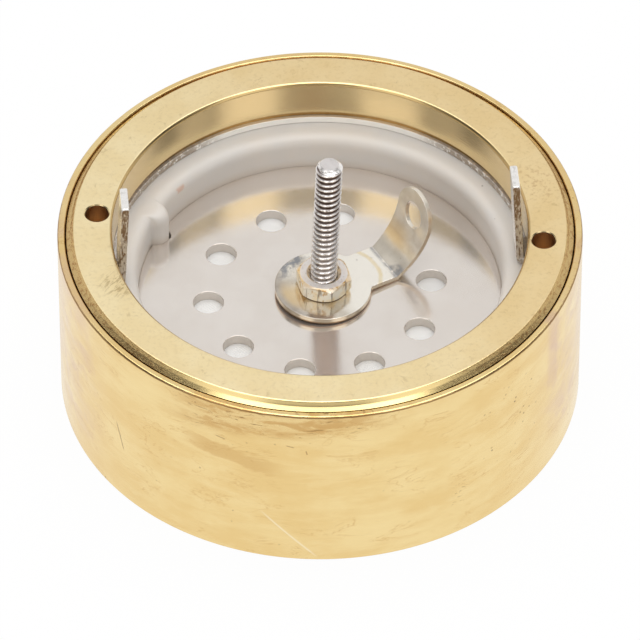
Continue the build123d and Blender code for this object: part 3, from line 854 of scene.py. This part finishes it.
# The disc's underside lies nearly on the plate.
def settledLug(x, y, z):
    height = z + x * stand["slope"] - lug["underside"]
    if height > lug["dropBelow"] or x * x + y * y < lug["collarRadius"] ** 2:
        return (x, y, z)
    return (x, y, z - lug["drop"])


lugFinish = tinnedLug(radians(lug["turn"]))
lugSheet = easedCopy("lugSheet", "solder_lug", lug["ease"], lugFinish, lug["easeAngle"], settledLug)
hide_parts("solder_lug")
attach(lugSheet, "solder_lug")


nut = {
    "acrossFlats": 3.24, "height": 1.2, "faceRadius": 1.55, "chamferAngle": 35, "footAngle": 44,
    "boreRadius": 0.93, "mouth": 0.2, "turn": -74, "ease": 0.03, "easeAngle": 25,
    "threadPitch": 0.435, "threadDepth": 0.1, "crestShare": 0.16, "rootShare": 0.12, "runOut": 0.08,
    "foot": 5.6657,  # from the screw's head, along the screw
}


def makeNut(v, place, finish):
    corner, tall, over = v["acrossFlats"] / 2 / cos(radians(30)), v["height"], 0.3
    wide = corner + 0.1
    lift = (wide - v["faceRadius"]) * tan(radians(v["footAngle"]))
    drop = (wide - v["faceRadius"]) * tan(radians(v["chamferAngle"]))
    block = turnedPiece("nutBody", [(0.0, 0.0), (corner, 0.0), (corner, tall), (0.0, tall)], 6, False)
    block.data.transform(Matrix.Rotation(radians(v["turn"]), 4, "Z"))
    barrel = turnedPiece("nutBarrel", [
        (0.0, 0.0), (v["faceRadius"], 0.0), (wide, lift), (wide, tall - drop),
        (v["faceRadius"], tall), (0.0, tall)], 96, False)
    block = joined(barrel, block, "INTERSECT")
    bore, mouth = v["boreRadius"], v["mouth"]
    rod = [(0.0, -over), (bore + mouth + over, -over), (bore, mouth), (bore, tall - mouth),
           (bore + mouth + over, tall + over), (0.0, tall + over)]
    rod = fillRows(rod, bore, mouth + 0.02, tall - mouth, v["threadPitch"] / 10)
    tap = turnedPiece("nutTap", rod, 56, False)
    cutThread(tap, finish, v, bore, -v["threadDepth"], mouth, tall - mouth)
    piece = joined(tap, block, "DIFFERENCE")
    piece.data.transform(place @ Matrix.Translation((0, 0, v["foot"] * mm)))
    easeEdges(piece, v["ease"], 2, v["easeAngle"], finish)
    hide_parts("screw_nut")
    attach(piece, "screw_nut")


screwPlace = Matrix.Translation((0, 0, stand["foot"] * mm)) @ Matrix.Rotation(radians(stand["lean"]), 4, "Y")
makeNut(nut, screwPlace, brightNut(nut["foot"]))
print("washer, nut and lug made")


screw = {
    "crestRadius": 0.87, "headRadius": 1.75, "headRim": 0.15, "headEase": 0.03,
    "plainEnd": 2.23, "length": 16.6, "tipChamfer": 0.3, "columns": 56,
    "threadPitch": 0.435, "threadDepth": 0.25, "crestShare": 0.18, "rootShare": 0.12, "runOut": 0.12,
}


def makeScrew(v, place, finish):
    crest, long, tip, spare = v["crestRadius"], v["length"], v["tipChamfer"], 0.2
    headTop = v["headRadius"] - crest + v["headRim"]
    corners = [
        (0.0, 0.0, 0.0),
        (v["headRadius"], 0.0, v["headEase"]),
        (v["headRadius"], v["headRim"], v["headEase"]),
        (crest, headTop, 0.0),
        (crest, long + spare, 0.0),
        (0.0, long + spare, 0.0),
    ]
    section = fillRows(soften(corners), crest, v["plainEnd"], long + spare, v["threadPitch"] / 12)
    piece = turnedPiece("screwBody", section, v["columns"], False)
    cutThread(piece, finish, v, crest, v["threadDepth"], v["plainEnd"], long + 1.0)
    # the tip is turned off after the thread is cut, which leaves its notched edge
    tool = turnedPiece("tipTool", [
        (crest + spare, long - tip - spare), (crest + spare, long + 2 * spare), (0.0, long + 2 * spare),
        (0.0, long), (crest - tip, long)], 64)
    piece = joined(tool, piece, "DIFFERENCE")
    piece.data.set_sharp_from_angle(angle=radians(40))
    piece.data.transform(place)
    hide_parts("centre_screw")
    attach(piece, "capsule")


makeScrew(screw, screwPlace, brightSteel())
print("screw made")


for node, finish in {
    "damping_cloth": wovenCloth(),
    "spacing_bush": plainBrass("bushBrass", (0.80, 0.62, 0.33)),
    "backplate": plainBrass("backplateBrass", (0.80, 0.61, 0.30)),
    "spacer_ring": clearFilm(),
    "diaphragm": goldFilm(),
    "diaphragm_ring": plainBrass("tensionRingBrass", (0.83, 0.64, 0.32)),
}.items():
    dress(solids[node], finish)
print("solids dressed")


studio = {
    "floorHalf": 2.0, "floorGrey": 0.85, "floorGlow": 0.96,
    "floorDrop": 0.02, "lampHeight": 0.5, "lampSide": 0.52, "lampPower": 1.65,
    "backLight": 0.82, "sideLight": 0.06, "frontLight": 1.2, "screenLight": 0.38, "lowLight": 0.85,
    "panelLight": 0.5, "panelExtra": 0.2,
    # where each light begins and ends: 1 is ahead and -1 behind, or 1 is overhead and 0 level
    "backEdge": (-0.08, -0.45), "frontEdge": (0.45, 0.62), "lowEdge": (0.48, 0.14),
    "screenEdge": (0.90, 0.94), "screenHeights": (0.42, 0.88, 0.05),
    "panelSpan": (0.06, 0.45, 0.08), "panelHeights": (0.61, 0.74, 0.03),
}


def makeFloor(v):
    half = v["floorHalf"]
    floor = makeObject("floor", [(-half, -half, 0), (half, -half, 0), (half, half, 0), (-half, half, 0)],
                       [(0, 1, 2, 3)])
    floor.data.transform(Matrix.Translation((0, 0, -v["floorDrop"] * mm)))
    material = bpy.data.materials.new("paleFloor")
    material.use_nodes = True
    board = Board(material.node_tree)
    material.node_tree.nodes.remove(material.node_tree.nodes["Principled BSDF"])
    path = board.add("ShaderNodeLightPath").socket.node
    seen = Wire(board, path.outputs["Is Camera Ray"])
    for label in ("Is Glossy Ray", "Is Transmission Ray"):
        seen = board.math("MAXIMUM", seen, Wire(board, path.outputs[label]))
    plain = board.add("ShaderNodeBsdfDiffuse", None, {"Color": (v["floorGrey"],) * 3})
    glow = board.add("ShaderNodeEmission", None, {"Color": (1.0, 1.0, 1.0), "Strength": 1.0})
    both = board.add("ShaderNodeMixShader", None, {0: seen * v["floorGlow"], 1: plain, 2: glow})
    leave = material.node_tree.nodes["Material Output"]
    material.node_tree.links.new(both.socket, leave.inputs["Surface"])
    dress(floor, material)


def makeWorld(v):
    world = bpy.data.worlds.new("paleStudio")
    bpy.context.scene.world = world
    world.use_nodes = True
    board = Board(world.node_tree)
    way = board.add("ShaderNodeTexCoord", None, None, "Generated")
    x, y, z = board.split(way)
    ahead = (0 - y) / ((x * x + y * y) ** 0.5 + 0.001)  # 1 in front of the object, -1 behind it
    behind = board.step(ahead, *v["backEdge"])
    front = board.step(ahead, *v["frontEdge"])
    level = v["sideLight"] + behind * (v["backLight"] - v["sideLight"])
    level = level + front * (v["frontLight"] - v["sideLight"])
    # a dimmer screen right ahead, from half way up
    screen = board.step(ahead, *v["screenEdge"]) * board.between(z, *v["screenHeights"])
    level = level + screen * (v["screenLight"] - level)
    low = board.step(z, *v["lowEdge"])
    level = level + low * (v["lowLight"] - level)
    # one panel on each side, a little forward, the right hand one brighter
    panel = board.between(ahead, *v["panelSpan"]) * board.between(z, *v["panelHeights"])
    panelLight = v["panelLight"] + board.step(x, -0.3, 0.3) * v["panelExtra"]
    level = level + panel * (panelLight - level)
    path = board.add("ShaderNodeLightPath").socket.node
    seen = Wire(board, path.outputs["Is Camera Ray"])
    level = level + seen * (1 - level)
    background = world.node_tree.nodes["Background"]
    background.inputs["Color"].default_value = (1, 1, 1, 1)
    world.node_tree.links.new(level.socket, background.inputs["Strength"])


def makeLamp(v):
    lamp = bpy.data.lights.new("overheadSoftbox", "AREA")
    lamp.shape = "SQUARE"
    lamp.size = v["lampSide"]
    lamp.energy = v["lampPower"]
    holder = bpy.data.objects.new("overheadSoftbox", lamp)
    bpy.context.scene.collection.objects.link(holder)
    holder.location = (0, 0, v["lampHeight"])


makeFloor(studio)
makeWorld(studio)
makeLamp(studio)

camera = {"lens": 496.35, "sensor": 36, "elevation": 44.77, "distance": 0.5766, "aimHeight": 0.00488}
eye = bpy.data.cameras.new("camera")
eye.sensor_width = camera["sensor"]
eye.lens = camera["lens"]
eye.clip_start = 0.01
eyeHolder = bpy.data.objects.new("camera", eye)
bpy.context.scene.collection.objects.link(eyeHolder)
tilt = radians(camera["elevation"])
aim = Vector((0, 0, camera["aimHeight"]))
eyeHolder.location = aim + Vector((0, -cos(tilt), sin(tilt))) * camera["distance"]
eyeHolder.rotation_euler = (pi / 2 - tilt, 0, 0)
bpy.context.scene.camera = eyeHolder
bpy.context.scene.view_settings.view_transform = "Standard"
print("studio made")
